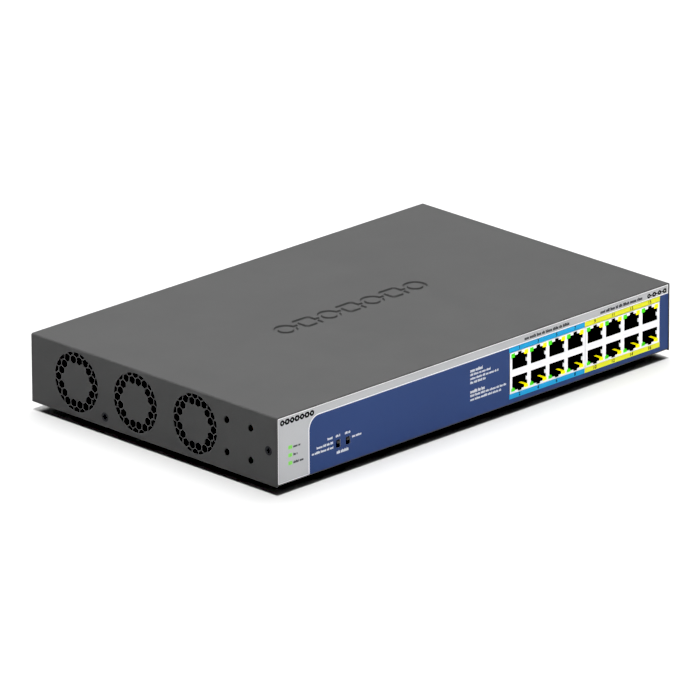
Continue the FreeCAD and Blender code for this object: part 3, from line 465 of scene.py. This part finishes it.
def mark_shapes(x0, x1, z, height, count):
    """The object's generic mark: rings and squares in a row."""
    half = height / 2
    pitch = (x1 - x0 - height) / (count - 1)
    stroke = height * 0.35
    gap = half - stroke
    outlines = []
    for step in range(count):
        x = x0 + half + step * pitch
        if step % 2 == 0:
            outlines += [disc(x, z, half), disc(x, z, gap)]
        else:
            outlines.append(plate(x - half, x + half, z - half, z + half, stroke))
            outlines.append(plate(x - gap, x + gap, z - gap, z + gap))
    return outlines


def mark_bars(x0, x1, z, height, count):
    """The short bars between the mark's rings and squares."""
    pitch = (x1 - x0 - height) / (count - 1)
    length = pitch - height * 0.8
    half_thick = height * 0.12
    bars = []
    for step in range(count - 1):
        start = x0 + height * 0.9 + step * pitch
        bars.append(plate(start, start + length, z - half_thick, z + half_thick))
    return bars


def case_box(node):
    """A node's lowest and highest corners, in millimetres from the case's lower left front corner."""
    low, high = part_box(node)
    return (low - case_low) / MM, (high - case_low) / MM


def port_window():
    """The film's cut-out for the port blocks, as its edges along X and Z."""
    slack = 0.25
    left_low = case_box("left_port_shield")[0]
    right_high = case_box("right_port_shield")[1]
    return left_low.x - slack, right_high.x + slack, left_low.z - slack, right_high.z + slack


def switch_windows():
    """The film's cut-outs for the two switches, each centred below the top of its body."""
    drop = 3.3
    half_width = 1.75
    half_height = 2.4
    windows = []
    for side in ("left", "right"):
        low, high = case_box(f"{side}_switch_body")
        x = (low.x + high.x) / 2
        z = high.z - drop
        windows.append(plate(x - half_width, x + half_width, z - half_height, z + half_height, 0.3))
    return windows


# Lines of small print, as x0, x1, z and height
FINE_LINES = [
    (41.4, 45.7, 19.1, 1.5), (48.2, 52.1, 19.1, 1.5), (55.7, 60.4, 19.1, 1.5), (32.5, 46.1, 15.8, 1.5),
    (28.6, 46.1, 12.9, 1.5), (61.6, 70.0, 15.6, 1.5), (159.9, 177.0, 28.0, 1.5), (159.9, 183.7, 25.5, 1.5),
    (159.9, 173.0, 23.0, 1.5), (159.9, 190.0, 14.8, 1.5), (159.9, 186.1, 12.3, 1.5),
]
HEAVY_LINES = [(48.9, 59.4, 8.9, 2.0), (159.9, 170.3, 30.5, 2.0), (159.9, 172.1, 17.3, 2.0)]
STATUS_LINES = [(13.6, 19.6, 22.1, 1.6), (13.6, 17.0, 17.2, 1.6), (13.6, 21.8, 12.3, 1.6)]
TITLE_LINES = [(205.7, 244.3, 39.0, 2.0), (270.5, 307.1, 39.0, 2.0)]

# The printed marks, as x0, x1, z, height and number of shapes
MARKS = {"front_mark": (2.9, 30.7, 38.7, 3.6, 7), "end_mark": (311.0, 327.6, 38.75, 2.9, 4)}

RIM = 0.45
KEYLINE = 0.65
FIELD_LEFT = 26.6
FIELD_DROP = 5.65
FIELD_RADIUS = 8.0
BAND = 3.05
BAND_SPLIT = -0.2
JACK_PITCH = 15.77
NUMERAL_SIZE = 3.0
NUMERAL_SWELL = 0.06


def print_lines(name, lines, ink, layer, rng):
    blocks = []
    for x0, x1, z, height in lines:
        blocks += word_blocks(x0, x1, z, height, rng)
    printed(name, blocks, ink, layer)


def print_border():
    """The film's bright rim, and the blue field with its bright keyline."""
    bright = film("bright_ink", srgb(255, 255, 255))
    blue = film("blue_ink", BLUE_INK, roughness=0.34)
    left = (film_low.x - case_low.x) / MM
    right = (film_high.x - case_low.x) / MM
    bottom = (film_low.z - case_low.z) / MM
    top = (film_high.z - case_low.z) / MM
    inside = plate(left + RIM, right - RIM, bottom + RIM, top - RIM)
    printed("film_rim", [plate(left, right, bottom, top), inside], bright, 0)
    field_top = top - FIELD_DROP
    field = plate(FIELD_LEFT, right, bottom, field_top, radii=(FIELD_RADIUS, 0, 0, 0))
    border = plate(FIELD_LEFT - KEYLINE, right, bottom, field_top + KEYLINE,
                   radii=(FIELD_RADIUS + KEYLINE, 0, 0, 0))
    holes = [plate(*port_window())] + switch_windows()
    printed("keyline", [border] + holes, bright, 1)
    printed("blue_field", [field] + holes, blue, 2)


def print_port_bands():
    """The cyan and yellow bands above and below the ports, with their numerals."""
    # Both band inks get a painted glow: emission that brightens them, though the film is no lamp.
    cyan = film("cyan_ink", srgb(42, 166, 222), glow=0.1)
    yellow = film("yellow_ink", srgb(226, 226, 52), glow=0.2)
    left, right, bottom, top = port_window()
    middle = (left + right) / 2 + BAND_SPLIT
    for name, ink, x0, x1 in (("cyan", cyan, left - 0.1, middle), ("yellow", yellow, middle, right + 0.2)):
        printed(f"{name}_band_top", [plate(x0, x1, top, top + BAND)], ink, 3)
        printed(f"{name}_band_bottom", [plate(x0, x1, bottom - BAND, bottom)], ink, 3)
    print_numerals(top + BAND / 2, bottom - BAND / 2)


def print_numerals(upper_z, lower_z):
    """Port numbers: odd ones over the upper jacks and even ones under the lower jacks."""
    black = film("numeral_ink", BLACK_INK)
    number = 1
    for side in ("left", "right"):
        low, high = case_box(f"{side}_port_shield")
        for column in range(4):
            x = (low.x + high.x) / 2 + JACK_PITCH * (column - 1.5)
            for z in (upper_z, lower_z):
                print_numeral(number, x, z, black)
                number += 1


def print_numeral(number, x, z, ink):
    text = bpy.data.curves.new(f"numeral_{number}", "FONT")
    text.body = str(number)
    text.size = NUMERAL_SIZE
    text.offset = NUMERAL_SWELL
    text.align_x = "CENTER"
    text.align_y = "CENTER"
    text.extrude = INK / 2
    mesh = mesh_from(bpy.data.objects.new(text.name, text))
    mesh.transform(Matrix.Translation((x, z, 0)))
    mesh.transform(facing_front(4))
    show(f"numeral_{number}", mesh, ink)


def print_front_panel():
    print_border()
    print_port_bands()
    black = film("black_ink", BLACK_INK)
    grey = film("grey_ink", srgb(38, 40, 46))
    white = film("white_ink", srgb(226, 230, 236))
    for name, measures in MARKS.items():
        printed(name, mark_shapes(*measures), black, 0)
        printed(f"{name}_links", mark_bars(*measures), black, 1)
    rng = random.Random(7)
    print_lines("status_legends", STATUS_LINES, grey, 0, rng)
    print_lines("port_titles", TITLE_LINES, grey, 0, rng)
    print_lines("white_legends", FINE_LINES + HEAVY_LINES, white, 3, rng)


# Small parts on the main board

def box_mesh(boxes):
    """One mesh of separate blocks, each a pair of corners in metres."""
    verts = []
    faces = []
    for low, high in boxes:
        start = len(verts)
        for z in (low.z, high.z):
            verts += [(low.x, low.y, z), (high.x, low.y, z), (high.x, high.y, z), (low.x, high.y, z)]
        for face in ((0, 3, 2, 1), (4, 5, 6, 7), (0, 1, 5, 4), (1, 2, 6, 5), (2, 3, 7, 6), (3, 0, 4, 7)):
            faces.append([start + corner for corner in face])
    mesh = bpy.data.meshes.new("blocks")
    mesh.from_pydata(verts, [], faces)
    return mesh


def board_small_parts():
    """Surface-mount resistors and capacitors scattered over the free part of the main board."""
    sizes = ((1.6, 0.8, 0.6), (2.0, 1.25, 0.9), (3.2, 1.6, 1.0))
    clear = 0.0008
    rng = random.Random(11)
    board_low, board_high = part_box("main_board")
    taken = []
    for node in ("switch_heatsink", "board_chips", "wire_connectors", "board_screws",
                 "network_transformers", "board_capacitors", "left_port_shield", "right_port_shield"):
        taken += solid_boxes(frame["nodes"][node])
    parts = []
    while len(parts) < 260:
        x = rng.uniform(board_low.x + 0.14, board_high.x - 0.006)
        y = rng.uniform(board_low.y + 0.05, board_high.y - 0.006)
        length, width, height = rng.choice(sizes)
        if rng.random() < 0.5:
            length, width = width, length
        low = Vector((x, y, board_high.z))
        high = low + Vector((length, width, height)) * MM
        if all(apart(low, high, other_low, other_high, clear) for other_low, other_high in taken):
            parts.append((low, high))
            taken.append((low, high))
    ceramic = moulded("ceramic_parts", srgb(168, 140, 104), 0.4, 0.0004, 0.00001, 0.25)
    show("board_small_parts", box_mesh(parts), ceramic)


def apart(low, high, other_low, other_high, clear):
    """Whether two boxes, seen from above, are further apart than the clearance."""
    beside = high.x + clear < other_low.x or low.x - clear > other_high.x
    return beside or high.y + clear < other_low.y or low.y - clear > other_high.y


def solid_boxes(obj):
    """The boxes of a mesh's separate parts, found by joining the vertices that its edges link."""
    parents = list(range(len(obj.data.vertices)))

    def root(item):
        while parents[item] != item:
            parents[item] = parents[parents[item]]
            item = parents[item]
        return item

    first_at = {}
    for vertex in obj.data.vertices:
        spot = tuple(round(value, 6) for value in vertex.co)
        first_at.setdefault(spot, vertex.index)
        parents[vertex.index] = root(first_at[spot])
    for edge in obj.data.edges:
        first, second = (root(index) for index in edge.vertices)
        parents[first] = second
    boxes = {}
    for vertex in obj.data.vertices:
        group = root(vertex.index)
        low, high = boxes.get(group, (vertex.co, vertex.co))
        boxes[group] = (Vector(map(min, low, vertex.co)), Vector(map(max, high, vertex.co)))
    return list(boxes.values())


# Studio. Light is given as the share that turns the bare floor white.

FLOOR_ALBEDO = 0.6
FLOOR_REACH = 6.0
SUN_SHARE = 0.63
SUN_ANGLE = math.radians(0.6)
SKY_LEVEL = 0.03
HORIZON_LEVEL = 12.0
HORIZON_RISE = (0.02, 0.05)
DEEPEST_BLACK = 0.018

# Level soft boxes, as place, diameter and share right below
SOFT_BOXES = {"rear_box": ((1.2, 1.2, 3.0), 3.4, 0.7), "near_box": ((-0.12, -0.08, 0.6), 0.7, 0.1)}


def floor_white(share):
    """The irradiance that lights the bare floor to a share of screen white."""
    return share * math.pi / FLOOR_ALBEDO


def make_floor():
    corners = [(-FLOOR_REACH, -FLOOR_REACH, 0), (FLOOR_REACH, -FLOOR_REACH, 0),
               (FLOOR_REACH, FLOOR_REACH, 0), (-FLOOR_REACH, FLOOR_REACH, 0)]
    mesh = bpy.data.meshes.new("floor")
    mesh.from_pydata(corners, [], [(0, 1, 2, 3)])
    shader = Shader("floor")
    shader.set("Base Color", shader.shades((FLOOR_ALBEDO,) * 3, 0.004, 0.6))
    shader.set("Roughness", 0.9)
    shader.set("Specular IOR Level", 0.1)
    mesh.materials.append(shader.material)
    floor = bpy.data.objects.new("floor", mesh)
    bpy.context.scene.collection.objects.link(floor)


def soft_box(name, place, diameter, share):
    """A round, level area light that gives the floor right below it a share of screen white."""
    radius = diameter / 2
    disc_area = math.pi * radius ** 2
    form_factor = radius ** 2 / (radius ** 2 + place[2] ** 2)
    data = bpy.data.lights.new(name, "AREA")
    data.shape = "DISK"
    data.size = diameter
    data.energy = floor_white(share) * disc_area / form_factor
    lamp = bpy.data.objects.new(name, data)
    lamp.location = place
    bpy.context.scene.collection.objects.link(lamp)


def make_sky():
    """A dim studio, bright only in a thin band at the horizon."""
    world = bpy.data.worlds.new("studio")
    world.use_nodes = True
    nodes = world.node_tree.nodes
    join = world.node_tree.links.new
    direction = nodes.new("ShaderNodeTexCoord").outputs["Generated"]
    split = nodes.new("ShaderNodeSeparateXYZ")
    join(direction, split.inputs["Vector"])
    fade = nodes.new("ShaderNodeMapRange")
    join(split.outputs["Z"], fade.inputs["Value"])
    fade.inputs["From Min"].default_value = HORIZON_RISE[0]
    fade.inputs["From Max"].default_value = HORIZON_RISE[1]
    fade.inputs["To Min"].default_value = HORIZON_LEVEL
    fade.inputs["To Max"].default_value = SKY_LEVEL
    join(fade.outputs["Result"], nodes["Background"].inputs["Strength"])
    nodes["Background"].inputs["Color"].default_value = (1.0, 1.0, 1.0, 1.0)
    bpy.context.scene.world = world


def make_light():
    """A small overhead light for crisp shadows, soft boxes, the sky and the view's tone curve."""
    make_sky()
    sun = bpy.data.lights.new("overhead", "SUN")
    sun.energy = floor_white(SUN_SHARE)
    sun.angle = SUN_ANGLE
    bpy.context.scene.collection.objects.link(bpy.data.objects.new("overhead", sun))
    for name, (place, diameter, share) in SOFT_BOXES.items():
        soft_box(name, place, diameter, share)
    view = bpy.context.scene.view_settings
    view.view_transform = "Standard"
    view.look = "None"
    view.use_curve_mapping = True
    view.curve_mapping.black_level = (DEEPEST_BLACK,) * 3
    view.curve_mapping.update()


make_camera()
make_floor()
make_light()
dress_cad_nodes(cad_materials())
print_front_panel()
board_small_parts()
